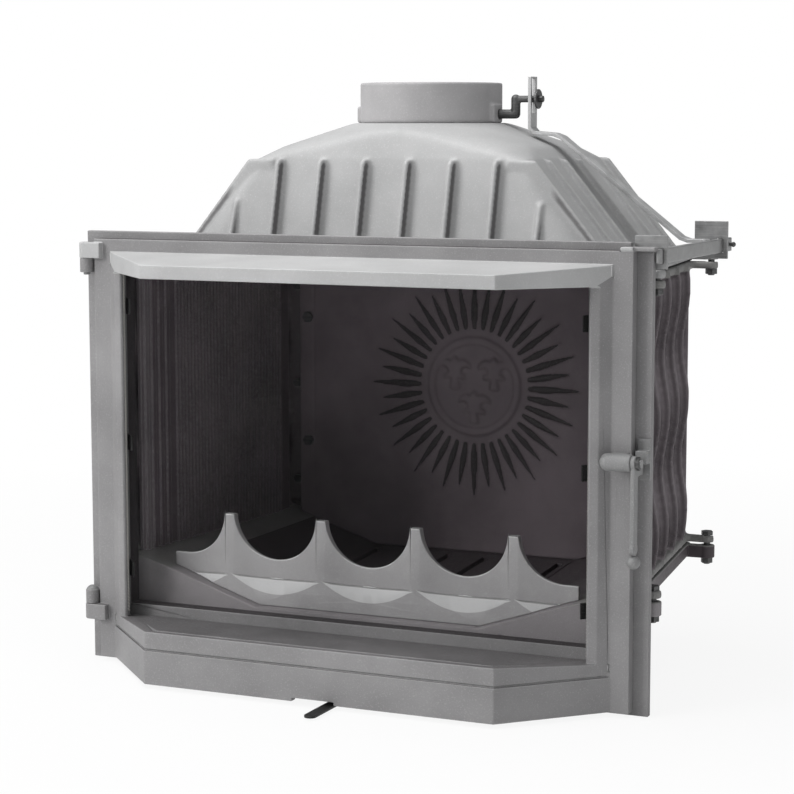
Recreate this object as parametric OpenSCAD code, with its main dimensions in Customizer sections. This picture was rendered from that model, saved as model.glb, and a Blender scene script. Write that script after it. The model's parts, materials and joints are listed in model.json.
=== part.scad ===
// Bay-fronted cast-iron fireplace insert with a door-driven flue damper.
// Millimetres, +Z up, +X to the viewer's right, -Y towards the room.
// The origin lies on the ground, under the axis of the flue.

/* [Firebox] */
// Half width of the room between the side walls, at the front
room_half = 308.5; // [290:0.5:330]
// Depth of the side walls
wall_depth = 355; // [335:1:390]
// Height of the side and back walls
wall_h = 347.5; // [320:0.5:380]
// Angle at which each side wall runs in towards the back, degrees
taper = 7.1; // [6:0.1:8.5]
// Thickness of the wavy side walls
wall_t = 6; // [5:0.5:8]
// Height of the waves of the side walls, to each side of the middle
wave_amp = 4; // [2:0.5:5]
// Length of one wave
wave_pitch = 135; // [110:1:170]
// Ribs on the outside of each side wall
wall_rib_count = 5; // [3:1:6]
// Thickness of the back wall
back_t = 8; // [6:0.5:12]
// Width of the flanges outside the walls
flange_w = 16.5; // [14:0.5:20]
// Thickness of the flanges and ears of the walls
flange_t = 9; // [7:0.5:12]

/* [Hearth] */
// Height of the hearth's rim above the ground
rim_top = 122; // [118:0.5:130]
// Thickness of the hearth's rim and of its ears
rim_t = 16; // [12:0.5:18]
// Height of the hearth floor at its front edge
floor_z = 74; // [70:0.5:78]
// Half width of the flat part of the floor
floor_flat_half = 140; // [138:1:150]
// Rise of the floor from its flat part to the knee of each side
floor_rise = 38; // [30:1:42]
// Rise of the floor towards the back, degrees
floor_tilt = 3; // [2:0.1:3.5]
// Thickness of the hearth floor
floor_t = 14; // [12:0.5:16]
// Half width of the lift-out grate
grate_half = 136; // [132:0.5:137]
// Thickness of the grate
grate_t = 8; // [6:0.5:9]
// Distance between two slots of the grate
grate_pitch = 50; // [44:1:52]
// Width of one slot
grate_slot_w = 8; // [6:0.5:10]

/* [Facade and door] */
// Width of the facade outside the room, on each side
facade_margin = 41.5; // [40:0.5:50]
// Thickness of the facade plate
facade_t = 8; // [6:0.5:9]
// Height of the facade above the dome's flange
facade_rise = 29.8; // [27:0.2:34]
// Thickness of the door's flange
door_t = 14.5; // [12:0.5:18]
// Gap between the door's edge and the facade's edge, at the sides
door_reveal = 17.7; // [17:0.1:22]
// Height of the door's lower edge above the ground
door_low = 4.5; // [4.4:0.1:6]
// Distance from the door's upper edge to the facade's upper edge
door_drop = 8.4; // [7:0.2:12]
// Width of the door's flat flange, outside the bay
door_flange_w = 22.5; // [20:0.5:26]
// Distance that the bay stands out in front of the flange
bay_depth = 96; // [80:1:110]
// Height of the apron's front edge
apron_top = 65.5; // [63:0.5:68]
// Height of the band that stands proud along the apron's foot
apron_step = 43.8; // [35:0.2:50]
// Height of the header's vertical face
header_h = 15.7; // [13:0.1:20]
// Thickness of the glass
glass_t = 4; // [3:0.5:5]

/* [Dome and flue] */
// Thickness of the dome's flange and ears
dome_flange_t = 10; // [8:0.5:12]
// Height of the dome above its flange
dome_h = 155.5; // [145:0.5:170]
// Thickness of the dome's shell
dome_t = 8; // [6:0.5:10]
// Thickness of one fin
fin_t = 6; // [4:0.5:8]
// Distance between two fins
fin_pitch = 54.9; // [52:0.1:56]
// Radius of the socket for the flue pipe
socket_r = 78; // [76:0.5:80]
// Depth of the socket
socket_depth = 23.5; // [18:0.5:28]
// Wall of the flue collar
collar_t = 7; // [5:0.5:9]
// Height of the flue collar
collar_h = 47.5; // [45:0.5:60]

/* [Log retainer] */
// Distance between two tines
tine_pitch = 120; // [112:1:124]
// Width of a tine at its tip
tine_w = 13; // [10:0.5:18]
// Height of the tines' tips above the ground
tine_top = 181; // [170:1:190]
// Thickness of the plate
retainer_t = 10; // [8:0.5:14]

/* [Damper drive] */
// Radius of the spindle that carries the damper
spindle_r = 5.5; // [4.5:0.25:6]
// Distance from the spindle to the crank's pin
crank_r = 17.5; // [16:0.5:19]
// Radius of the crank's pin
crank_pin_r = 4; // [3.5:0.25:4.5]
// Width of the push bar
bar_w = 8; // [6:0.5:9]
// Height of the push bar
bar_h = 15.7; // [12:0.1:18]
// Thickness of the strip that joins the bar to the crank
strip_t = 4; // [3:0.5:5]
// Width of the strip
strip_w = 20; // [19:0.5:24]

/* [Latch and air lever] */
// Height of the latch's spindle above the ground
latch_z = 282; // [240:1:320]
// Length of the latch's lever below its spindle
lever_len = 92; // [75:1:110]
// Radius of the latch's housing
latch_housing_r = 9.6; // [9.4:0.1:10.4]
// Width of the air lever
air_lever_w = 14; // [10:0.5:18]
// Distance that the air lever reaches out in front of the bay
air_lever_reach = 49; // [30:1:70]

/* [Clearances] */
// Gap between two pieces that move past each other
run_gap = 0.3; // [0.2:0.05:0.5]
// Gap all round a shaft in its bore
fit_gap = 0.05; // [0.03:0.01:0.09]
// Gap all round a screw or bolt in its hole
bolt_gap = 0.3; // [0.2:0.1:0.5]

/* [Hidden] */
$fn = 48;
hull_fn = 32;
eps = 0.01;
big = 2000;

// Depths are measured from the front plane of the door's flange
front_to_flue = 232;
function at(d) = d - front_to_flue;
facade_d = door_t + run_gap;
facade_back_d = facade_d + facade_t;
body_d = 35;
back_d = body_d + wall_depth;
body_end_d = back_d + back_t;

// Heights of the stack
gasket_t = 3;
dome_gasket_t = 2;
wall_z0 = rim_top + gasket_t;
wall_z1 = wall_z0 + wall_h;
dome_z0 = wall_z1 + dome_gasket_t;
dome_z1 = dome_z0 + dome_flange_t;
dome_top = dome_z1 + dome_h;
facade_half = room_half + facade_margin;
facade_h = dome_z1 + facade_rise;

// Plan of the body: a trapezium that narrows towards the back
function half_at(d) = room_half - (d - body_d) * tan(taper);
module plan_strip(margin, d0, d1) {
  polygon([[half_at(d0) + margin, at(d0)], [half_at(d1) + margin, at(d1)],
    [-half_at(d1) - margin, at(d1)], [-half_at(d0) - margin, at(d0)]]);
}
module both_sides() {
  children();
  mirror([1, 0, 0]) children();
}
// Moves a piece into the frame of the right side wall: x out, y along the wall
module wall_frame() {
  translate([room_half, at(body_d), 0]) rotate([0, 0, taper]) children();
}
// A cylinder along Y that starts at depth d
module rod_y(r, d, len) {
  translate([0, at(d), 0]) rotate([-90, 0, 0]) cylinder(r = r, h = len);
}
module rod_x(r, x0, len) {
  translate([x0, 0, 0]) rotate([0, 90, 0]) cylinder(r = r, h = len);
}

// Ears at the four corners, with their bolts
ear_r = 9.5;
ear_bolt_r = 4;
ear_head_af = 13;
ear_head_h = 5.3;
front_ear_x = room_half + 35.5;
front_ear_d = body_d + 11;
rear_ear_x = half_at(back_d) + 39.7;
rear_ear_d = back_d - 1.5;
module ears_2d() {
  both_sides() {
    translate([front_ear_x, at(front_ear_d)]) circle(r = ear_r);
    translate([room_half, at(body_d + 1.5)]) square([front_ear_x - room_half, 2 * ear_r]);
    translate([rear_ear_x, at(rear_ear_d)]) circle(r = ear_r);
    translate([half_at(back_d), at(back_d - 10)])
      square([rear_ear_x - half_at(back_d), 10 - eps]);
  }
}
module at_ears() {
  both_sides() {
    translate([front_ear_x, at(front_ear_d), 0]) children();
    translate([rear_ear_x, at(rear_ear_d), 0]) children();
  }
}
module ear_holes() {
  at_ears() translate([0, 0, -1]) cylinder(r = ear_bolt_r + bolt_gap, h = big);
}
module hex(af, h) {
  cylinder(r = af / 2 / cos(30), h = h, $fn = 6);
}

// The hearth's floor: its section, its tilt and the spaces above and below it
floor_knee_x = 255;
floor_edge_x = room_half + 20;
floor_edge_rise = floor_rise + 21;
module tilted() {
  translate([0, at(body_d), floor_z]) rotate([floor_tilt, 0, 0]) children();
}
module floor_section(shift, top) {
  edge = top ? 300 : -300;
  polygon([[-floor_edge_x, edge], [-floor_edge_x, floor_edge_rise + shift],
    [-floor_knee_x, floor_rise + shift], [-floor_flat_half, shift], [floor_flat_half, shift],
    [floor_knee_x, floor_rise + shift], [floor_edge_x, floor_edge_rise + shift],
    [floor_edge_x, edge]]);
}
module above_floor(shift) {
  tilted() translate([0, 500, 0]) rotate([90, 0, 0])
    linear_extrude(600) floor_section(shift, true);
}
module below_floor(shift) {
  tilted() translate([0, 500, 0]) rotate([90, 0, 0])
    linear_extrude(600) floor_section(shift, false);
}

// The lift-out grate lies on a ledge of the hearth, flush with the floor
grate_y0 = 8;
grate_len = 322;
grate_ledge = 7;
module grate() {
  color([0.22, 0.22, 0.23]) tilted() difference() {
    translate([-grate_half, grate_y0, -grate_t]) cube([2 * grate_half, grate_len, grate_t]);
    for (i = [-2.5:1:2.5])
      translate([i * grate_pitch - grate_slot_w / 2, grate_y0 + 14, -grate_t - 1])
        cube([grate_slot_w, grate_len - 28, grate_t + 2]);
  }
}

// The floor's front edge reaches down to the facade's sill beside the ash box
front_plate_t = 8;
module front_plates() {
  both_sides() translate([box_half + 1, at(body_d) - 1, floor_z - floor_t])
    cube([room_half, front_plate_t + 1, floor_edge_rise + floor_t]);
}
module hearth() {
  color([0.25, 0.25, 0.26]) difference() {
    union() {
      translate([0, 0, rim_top - rim_t]) linear_extrude(rim_t) {
        plan_strip(flange_w, body_d, body_end_d);
        ears_2d();
      }
      difference() {
        translate([0, 0, floor_z - 40]) linear_extrude(120)
          plan_strip(-run_gap, body_d, back_d - run_gap);
        difference() {
          below_floor(-floor_t);
          front_plates();
        }
      }
    }
    above_floor(0);
    tilted() {
      translate([-grate_half - run_gap, grate_y0 - run_gap, -grate_t - run_gap])
        cube([2 * (grate_half + run_gap), grate_len + 2 * run_gap, floor_t]);
      translate([-grate_half + grate_ledge, grate_y0 + grate_ledge, -floor_t - 5])
        cube([2 * (grate_half - grate_ledge), grate_len - 2 * grate_ledge, 2 * floor_t]);
    }
    ear_holes();
  }
}

// The ash box carries the hearth and holds the ash pan and the air slide
box_half = 170;
box_t = 6;
box_d0 = body_d + 1;
box_d1 = back_d - 10;
box_floor_z = door_low - 0.2;
box_floor_t = 4;
air_gap_half = 31;
air_slot_w = 30;
air_slot_pitch = 70;
slide_half = 105;
slide_d0 = 60;
slide_len = 80;
slide_t = 2.5;
slide_z = box_floor_z - 0.2 - slide_t;
guide_t = 4;
module air_slots(d0, len) {
  for (i = [-1:1])
    translate([i * air_slot_pitch - air_slot_w / 2, at(d0 + 14), -1])
      cube([air_slot_w, len - 28, 20]);
}
box_rib_w = 12;
module ash_box() {
  color([0.27, 0.27, 0.28]) translate([-box_half + box_t - eps, -box_rib_w / 2, 0])
    cube([2 * (box_half - box_t + eps), box_rib_w, box_floor_z + eps]);
  color([0.27, 0.27, 0.28]) difference() {
    translate([-box_half, at(box_d0), 0]) cube([2 * box_half, box_d1 - box_d0, rim_top]);
    above_floor(-floor_t);
    translate([-box_half + box_t, at(box_d0 - 1), box_floor_z + box_floor_t])
      cube([2 * (box_half - box_t), box_d1 - box_d0 - box_t + 1, rim_top]);
    translate([-box_half + box_t, at(box_d0 + box_t), -1])
      cube([2 * (box_half - box_t), box_d1 - box_d0 - 2 * box_t, box_floor_z + 1]);
    translate([-air_gap_half, at(box_d0 - 1), -1]) cube([2 * air_gap_half, box_t + 2, box_floor_z + 1]);
    air_slots(slide_d0, slide_len);
  }
}
air_lever_x = 17.6;
module air_slide() {
  color([0.3, 0.3, 0.31]) difference() {
    translate([-slide_half, at(slide_d0), slide_z]) cube([2 * slide_half, slide_len, slide_t]);
    air_slots(slide_d0, slide_len);
  }
}
module air_lever() {
  tip_d = -bay_depth - air_lever_reach + air_lever_w / 2;
  color([0.13, 0.13, 0.14]) {
    translate([air_lever_x - air_lever_w / 2, at(tip_d), slide_z])
      cube([air_lever_w, slide_d0 - tip_d, slide_t]);
    translate([air_lever_x, at(tip_d), slide_z]) cylinder(r = air_lever_w / 2, h = slide_t);
  }
}
// Two rails under the ash box's floor carry the slide; the front one is parted for the lever
module air_rail(x0, x1, lip_side) {
  d = lip_side > 0 ? slide_d0 - run_gap - guide_t : slide_d0 + slide_len + run_gap;
  lip_d = lip_side > 0 ? d : slide_d0 + slide_len - guide_t;
  translate([x0, at(d), 0.2]) cube([x1 - x0, guide_t, box_floor_z - 0.2]);
  translate([x0, at(lip_d), 0.2])
    cube([x1 - x0, 2 * guide_t + run_gap, slide_z - run_gap - 0.2]);
}
module air_slide_guides() {
  color([0.3, 0.3, 0.31]) {
    air_rail(-slide_half - 30, -air_gap_half, 1);
    air_rail(air_gap_half, slide_half, 1);
    air_rail(-slide_half - 30, slide_half, -1);
  }
}

// The ash pan slides out through the facade's lower opening
pan_half = 112;
pan_t = 2;
pan_z = box_floor_z + box_floor_t + run_gap;
pan_h = 31;
pan_front_half = 117;
pan_len = 280;
pan_front_t = 4;
pan_handle_r = 4;
pan_handle_out = 18;
module ash_pan() {
  front_d = facade_d + 1;
  color([0.3, 0.3, 0.31]) {
    difference() {
      translate([-pan_half, at(front_d + pan_front_t - 1), pan_z]) cube([2 * pan_half, pan_len, pan_h]);
      translate([-pan_half + pan_t, at(front_d + pan_front_t), pan_z + pan_t])
        cube([2 * (pan_half - pan_t), pan_len - pan_t - 1, pan_h]);
    }
    translate([-pan_front_half, at(front_d), pan_z + 1])
      cube([2 * pan_front_half, pan_front_t, pan_h + 4]);
    translate([0, 0, pan_z + pan_h / 2 + 3]) {
      for (s = [-1, 1]) translate([s * 30, 0, 0])
        rod_y(pan_handle_r, front_d - pan_handle_out, pan_handle_out + 1);
      translate([0, at(front_d - pan_handle_out), 0]) rod_x(pan_handle_r, -38, 76);
    }
  }
}

// Facade: a plate with the fire opening, the pan's opening and a rim that reaches the body
opening_half = room_half - 10.5;
sill_z = floor_z - 4;
opening_top = wall_z1 - 6.5;
front_flange_w = 26.5;
rim_out = room_half + front_flange_w + 1;
pan_open_low = pan_z + 1 - 2;
pan_open_high = pan_z + pan_h + 6.5;
tab_z = facade_h - 8.8;
module facade() {
  color([0.56, 0.56, 0.57]) difference() {
    union() {
      translate([-facade_half, at(facade_d), 0]) cube([2 * facade_half, facade_t, facade_h]);
      translate([-rim_out, at(facade_d), sill_z - 9])
        cube([2 * rim_out, body_d - facade_d - 0.1, dome_z0 - sill_z + 9]);
    }
    translate([-opening_half, at(facade_d - 1), sill_z])
      cube([2 * opening_half, 60, opening_top - sill_z]);
    translate([-pan_front_half - 2, at(facade_d - 1), pan_open_low])
      cube([2 * (pan_front_half + 2), 60, pan_open_high - pan_open_low]);
    translate([-air_gap_half, at(facade_d - 1), -1]) cube([2 * air_gap_half, 60, door_low + 1]);
    translate([facade_half - 25, at(facade_d - 1), tab_z - 0.8])
      cube([30, 60, 30]);
    both_sides() facade_bolt_places() rod_y(facade_bolt_r + bolt_gap, facade_back_d, 30);
  }
}
facade_bolt_r = 3;
small_af = 10;
small_head_h = 4;
module facade_bolt_places() {
  for (z = [wall_z0 + 45, wall_z0 + wall_h / 2, wall_z1 - 45])
    translate([room_half + front_flange_w - 6, 0, z]) children();
}
module facade_bolts() {
  color([0.3, 0.3, 0.31]) both_sides() facade_bolt_places() {
    rod_y(facade_bolt_r, facade_back_d, body_d + flange_t - facade_back_d + eps);
    translate([0, at(body_d + flange_t), 0]) rotate([-90, 0, 0]) hex(small_af, small_head_h);
  }
}

// Side walls: wavy cast plates with flanges, ears and ribs
wave_steps = 26;
wave_crest = 181;
wave_mid = wave_amp + wall_t / 2;
function wave_x(h) = wave_mid + wave_amp * cos(360 * (h - wave_crest) / wave_pitch);
wave_over = 5;
function wave_h(i) = (wall_h + 2 * wave_over) * i / wave_steps - wave_over;
function wave_line(shift) = [for (i = [0:wave_steps]) [wave_x(wave_h(i)) + shift, wave_h(i)]];
function flipped(a) = [for (i = [len(a) - 1:-1:0]) a[i]];
module wavy_slab(x0, x1, y0, y1) {
  translate([0, y1, wall_z0]) rotate([90, 0, 0]) linear_extrude(y1 - y0)
    polygon(concat(wave_line(x0), flipped(wave_line(x1))));
}
wall_rib_w = 5.5;
wall_rib_h = 9;
wall_rib_y0 = 50;
wall_rib_pitch = 62;
module wall_flange_2d() {
  intersection() {
    difference() {
      union() {
        plan_strip(flange_w, body_d - wave_over, back_d + wave_over);
        ears_2d();
      }
      plan_strip(0, body_d - 50, body_end_d + 50);
    }
    translate([0, -big / 2]) square([big, big]);
  }
}
module side_wall() {
  difference() {
    intersection() {
      union() {
        wall_frame() {
          wavy_slab(-wall_t / 2, wall_t / 2, -10, wall_depth + 20);
          for (i = [0:wall_rib_count - 1])
            translate([0, wall_rib_y0 + i * wall_rib_pitch, 0])
              wavy_slab(0, wall_t / 2 + wall_rib_h, 0, wall_rib_w);
        }
        for (z = [wall_z0 - wave_over, wall_z1 - flange_t])
          translate([0, 0, z]) linear_extrude(flange_t + wave_over) wall_flange_2d();
        translate([room_half, at(body_d - wave_over), wall_z0 - wave_over])
          cube([front_flange_w, flange_t + wave_over, wall_h + 2 * wave_over]);
        translate([half_at(back_d) + 1.5, at(back_d - flange_t), wall_z0 - wave_over])
          cube([wave_mid + wave_amp, flange_t + wave_over, wall_h + 2 * wave_over]);
        translate([half_at(back_d) - back_flange_w, at(back_d - flange_t), wall_z0 + 14])
          cube([back_flange_w + 3, flange_t + wave_over, liner_top - wall_z0 - 15]);
      }
      translate([0, at(body_d), wall_z0]) cube([big, wall_depth - eps, wall_h]);
    }
    ear_holes();
    facade_bolt_places() rod_y(facade_bolt_r + bolt_gap, body_d - 1, flange_t + 2);
    back_bolt_places() rod_y(back_bolt_r + bolt_gap, back_d - flange_t - 1, flange_t + 2);
  }
}
module side_wall_right() {
  color([0.3, 0.3, 0.31]) side_wall();
}
module side_wall_left() {
  color([0.3, 0.3, 0.31]) mirror([1, 0, 0]) side_wall();
}
back_flange_w = 18;
back_bolt_r = 3;
module back_bolt_places() {
  for (z = [wall_z0 + 45, wall_z0 + wall_h / 2, wall_z1 - 45])
    translate([half_at(back_d) - 7.5, 0, z]) children();
}
back_rib_h = 3;
module back_wall() {
  half = half_at(back_d) + 5;
  color([0.3, 0.3, 0.31]) difference() {
    union() {
      translate([-half, at(back_d), wall_z0]) cube([2 * half, back_t, wall_h]);
      for (x = [-150, -50, 50, 150])
        translate([x - 5, at(body_end_d - 1), wall_z0 + 20]) cube([10, back_rib_h + 1, wall_h - 40]);
    }
    both_sides() back_bolt_places() rod_y(back_bolt_r + bolt_gap, back_d - 1, back_t + 2);
    fireback_bolt_places() rod_y(fireback_bolt_r + bolt_gap, back_d - 1, back_t + 2);
  }
}
module back_wall_bolts() {
  color([0.3, 0.3, 0.31]) both_sides() back_bolt_places() {
    rod_y(back_bolt_r, back_d - flange_t - 4, flange_t + back_t + 4 + eps);
    translate([0, at(body_end_d), 0]) rotate([-90, 0, 0]) hex(small_af, small_head_h);
    translate([0, at(back_d - flange_t - 4), 0]) rotate([-90, 0, 0]) hex(small_af, small_head_h);
  }
}

// Gaskets lie between the rim and the walls, and between the walls and the dome
module gasket_2d() {
  difference() {
    plan_strip(flange_w - 3, body_d + 2, body_end_d - 1);
    plan_strip(3, body_d - 5, back_d + 1.5);
  }
}
module base_gasket() {
  color([0.12, 0.12, 0.12]) translate([0, 0, rim_top]) linear_extrude(gasket_t) gasket_2d();
}
module dome_gasket() {
  color([0.12, 0.12, 0.12]) translate([0, 0, wall_z1]) linear_extrude(dome_gasket_t) gasket_2d();
}

// Liners stand on the hearth's floor, in front of the side walls
liner_t = 5;
liner_rib_h = 2.5;
liner_rib_pitch = 6.8;
liner_rib_count = 34;
liner_y0 = 17;
liner_rib_y0 = 86;
liner_top = wall_z1 - 17;
liner_x = -run_gap - liner_t;
module side_liner() {
  rib_end = wall_depth - 22;
  difference() {
    wall_frame() {
      translate([liner_x, liner_y0, wall_z0 - 40])
        cube([liner_t, rib_end - liner_y0, liner_top - wall_z0 + 40]);
      for (i = [0:liner_rib_count - 1])
        translate([liner_x - liner_rib_h, liner_rib_y0 + i * liner_rib_pitch, wall_z0 - 40])
          cube([liner_rib_h + 1, liner_rib_pitch / 2, liner_top - wall_z0 + 40]);
      for (i = [0:3])
        translate([liner_x - liner_rib_h, liner_y0 + 6 + i * 14, wall_z0 - 40])
          cube([liner_rib_h + 1, 7, liner_top - wall_z0 + 40]);
    }
    below_floor(run_gap);
  }
}
module side_liner_right() {
  color([0.24, 0.24, 0.25]) side_liner();
}
module side_liner_left() {
  color([0.24, 0.24, 0.25]) mirror([1, 0, 0]) side_liner();
}

// Fireback: a plate with a sun in relief, bolted to the back wall
fireback_t = 10;
fireback_d = back_d - 9 - fireback_t;
fireback_half = half_at(fireback_d) - 17.6;
fireback_border = 20;
fireback_bolt_r = 4;
sun_z = wall_z0 + 0.522 * wall_h;
sun_r = 62.8;
ray_count = 40;
ray_r0 = 74;
ray_r1 = 142;
relief = 2.5;
module fireback_bolt_places() {
  for (z = [wall_z0 + 0.285 * wall_h, wall_z0 + 0.754 * wall_h])
    both_sides() translate([fireback_half - 13.4, 0, z]) children();
}
// A lily of three petals over a band, within a height of about one
module lily_2d() {
  intersection() {
    translate([-0.34, 0.05]) circle(r = 0.5);
    translate([0.34, 0.05]) circle(r = 0.5);
  }
  both_sides() difference() {
    translate([0.24, 0.08]) circle(r = 0.22);
    translate([0.34, -0.04]) circle(r = 0.17);
  }
  translate([-0.3, -0.2]) square([0.6, 0.09]);
  both_sides() translate([0.02, -0.48]) rotate([0, 0, 10]) square([0.1, 0.32]);
}
module sun_2d() {
  difference() {
    circle(r = sun_r);
    circle(r = sun_r - 3.5);
  }
  difference() {
    circle(r = sun_r - 6);
    circle(r = sun_r - 8.5);
  }
  for (i = [0:ray_count - 1])
    rotate([0, 0, 360 * i / ray_count])
      polygon([[ray_r0, -1.6], [ray_r0 + 22, -3.6], [i % 2 == 0 ? ray_r1 : ray_r1 - 12, 0],
        [ray_r0 + 22, 3.6], [ray_r0, 1.6]]);
  for (p = [[-27, 19], [27, 19], [0, -25]])
    translate([p[0], p[1]]) scale(46) lily_2d();
}
module fireback() {
  top = liner_top;
  color([0.26, 0.26, 0.27]) difference() {
    union() {
      translate([-fireback_half, at(fireback_d), floor_z])
        cube([2 * fireback_half, fireback_t, top - floor_z]);
      translate([0, at(fireback_d) + 1, sun_z]) rotate([90, 0, 0]) linear_extrude(1 + relief) sun_2d();
      fireback_bolt_places() rod_y(9, fireback_d + 1, back_d - fireback_d - 1 - run_gap / 3);
    }
    below_floor(run_gap);
    difference() {
      translate([-fireback_half + fireback_border, at(fireback_d) - 1, 150])
        cube([2 * (fireback_half - fireback_border), 2, top - 150 - fireback_border]);
      translate([-fireback_half + fireback_border + 2, at(fireback_d) - 2, 152])
        cube([2 * (fireback_half - fireback_border - 2), 4, top - 154 - fireback_border]);
    }
    fireback_bolt_places() rod_y(fireback_bolt_r + bolt_gap, fireback_d - 1, 40);
  }
}
module fireback_bolts() {
  color([0.3, 0.3, 0.31]) fireback_bolt_places() {
    rod_y(fireback_bolt_r, fireback_d - eps, body_end_d + 8 - fireback_d);
    translate([0, at(fireback_d), 0]) rotate([90, 0, 0]) hex(13, 5);
    translate([0, at(body_end_d), 0]) rotate([-90, 0, 0]) hex(13, 6);
  }
}

// The baffle lies on the tops of the liners and the fireback and turns the smoke forwards
baffle_t = 7;
baffle_len = 200;
baffle_d0 = back_d - baffle_len;
module baffle_plate() {
  color([0.24, 0.24, 0.25]) translate([0, 0, liner_top + eps]) linear_extrude(baffle_t)
    plan_strip(-2, baffle_d0, back_d - 3);
}

// Log retainer: a scalloped plate that stands across the hearth
retainer_d = 46;
retainer_half = 256.5;
scallop_r = (tine_pitch - tine_w) / 2;
scallop_low = tine_top - scallop_r + 2;
cup_half = tine_pitch / 2 - 6;
cup_depth = 6;
cup_r = (cup_half * cup_half + cup_depth * cup_depth) / (2 * cup_depth);
cup_z = scallop_low - 23;
cup_lean = 20;
// The plate's front is hollowed below each scallop, and the hollow runs out at its foot
module cup() {
  translate([0, at(retainer_d), cup_z]) {
    translate([0, cup_depth - cup_r, 0]) cylinder(r = cup_r, h = 100, $fn = 180);
    rotate([-cup_lean, 0, 0]) translate([0, cup_depth - cup_r, -40])
      cylinder(r = cup_r, h = 42, $fn = 180);
  }
}
module log_retainer() {
  color([0.42, 0.42, 0.43]) difference() {
    translate([0, at(retainer_d + retainer_t), 0]) rotate([90, 0, 0]) linear_extrude(retainer_t) difference() {
      translate([-retainer_half, floor_z - 5]) square([2 * retainer_half, tine_top - floor_z + 5]);
      for (i = [-2:2])
        translate([i * tine_pitch, scallop_low + scallop_r]) circle(r = scallop_r, $fn = 72);
      both_sides() translate([2 * tine_pitch, scallop_low]) square([50, 100]);
    }
    below_floor(run_gap);
    for (i = [-2:2]) translate([i * tine_pitch, 0, 0]) cup();
  }
}

// Dome: one casting of a flange, a vaulted shell and its fins
dome_base_x = room_half - 44.5;
dome_base_y = at(back_d) - 5;
dome_base_r = 40;
shoulder_x = dome_base_x - 91;
shoulder_y = dome_base_y - 27;
shoulder_h = dome_h - 41.5;
crown_r = socket_r + collar_t + 8;
dome_hole_r = socket_r - 2;
module dome_ring(h, hx, hy, r, inset) {
  for (sx = [-1, 1], sy = [-1, 1])
    translate([sx * (hx - r), sy * (hy - r), dome_z1 + h])
      cylinder(r = r - inset, h = 0.5, $fn = hull_fn);
}
module dome_form(inset) {
  low = inset > 0 ? -dome_flange_t - 1 : -dome_flange_t;
  hull() {
    dome_ring(low, dome_base_x, dome_base_y, dome_base_r, inset);
    dome_ring(0, dome_base_x, dome_base_y, dome_base_r, inset);
    dome_ring(shoulder_h - inset / 2, shoulder_x, shoulder_y, 16, inset);
    dome_ring(dome_h - 28 - inset * 0.8, shoulder_x - 15, shoulder_y - 10, 46, inset);
    dome_ring(dome_h - 17 - inset * 0.9, crown_r + 37, shoulder_y - 14, 90, inset);
    dome_ring(dome_h - 9 - inset, crown_r + 20, shoulder_y - 12,
      min(crown_r + 20, shoulder_y - 12) - 1, inset);
    dome_ring(dome_h - 0.5 - inset, crown_r, crown_r, crown_r - 0.1, inset);
  }
}
// Fins: the outer edge runs straight from the foot to a rounded head
fin_root_t = 9;
fin_head_r = 8;
short_fin_h = 67.5;
front_fin_foot = dome_base_y + 13;
front_fin_head = shoulder_y + 14;
side_fin_foot = dome_base_x + 10;
side_fin_head = shoulder_x + 13;
side_fin_pitch = (dome_base_y - 28) / 2.5;
fin_head_h = shoulder_h - 8.5;
// A fin that stands out along x, with its root inside the shell
module fin(foot, head, top_h, root_len) {
  x = foot + (head - foot) * (top_h - fin_head_r) / fin_head_h;
  hull() {
    translate([foot - 1, -fin_t / 2, 0]) cube([1, fin_t, 1]);
    translate([x - fin_head_r, fin_t / 2, top_h - fin_head_r]) rotate([90, 0, 0])
      cylinder(r = fin_head_r, h = fin_t, $fn = 24);
    translate([x - root_len, -fin_root_t / 2, 0]) cube([1, fin_root_t, top_h - 1]);
  }
}
module dome_fins() {
  translate([0, 0, dome_z1]) for (s = [-1, 1]) {
    for (i = [-3.5:1:3.5]) {
      short = abs(i) > 3;
      head = short ? front_fin_head - 16 : front_fin_head;
      translate([i * fin_pitch, 0, 0]) rotate([0, 0, s * 90])
        fin(front_fin_foot, head, short ? short_fin_h : shoulder_h, short ? 24 : 36);
    }
    for (i = [-2.5:1:2.5])
      translate([0, i * side_fin_pitch, 0]) rotate([0, 0, 90 - s * 90])
        fin(side_fin_foot, side_fin_head, shoulder_h, 38);
  }
}
module dome() {
  color([0.7, 0.7, 0.71]) difference() {
    union() {
      translate([0, 0, dome_z0]) linear_extrude(dome_flange_t) {
        plan_strip(flange_w, body_d, body_end_d);
        ears_2d();
      }
      dome_form(0);
      dome_fins();
    }
    dome_form(dome_t);
    translate([0, 0, dome_top - 40]) cylinder(r = dome_hole_r, h = 100, $fn = 96);
    ear_holes();
    rear_guide_holes();
  }
}

// Flue collar: a socket for the pipe over a narrower bore that holds the damper
collar_bore_r = socket_r - 6;
collar_r = socket_r + collar_t;
spindle_z = dome_top + 10.4;
left_lug_x = collar_r + 9.5;
right_lug_x = collar_r + 3.5;
module flue_collar() {
  color([0.66, 0.66, 0.67]) difference() {
    union() {
      translate([0, 0, dome_top]) cylinder(r = collar_r, h = collar_h, $fn = 96);
      translate([0, 0, dome_top - dome_t + 1])
        cylinder(r = dome_hole_r - run_gap, h = dome_t, $fn = 96);
      translate([collar_bore_r + 2, -18, dome_top])
        cube([right_lug_x - collar_bore_r - 2, 27, 22.5]);
      translate([-left_lug_x, -9, dome_top]) cube([left_lug_x - collar_bore_r - 2, 18, 20]);
    }
    translate([0, 0, dome_top - 20]) cylinder(r = collar_bore_r, h = 100, $fn = 96);
    translate([0, 0, dome_top + collar_h - socket_depth]) cylinder(r = socket_r, h = 100, $fn = 96);
    translate([0, 0, spindle_z]) rod_x(spindle_r + fit_gap, -left_lug_x + 4, big);
  }
}

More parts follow.
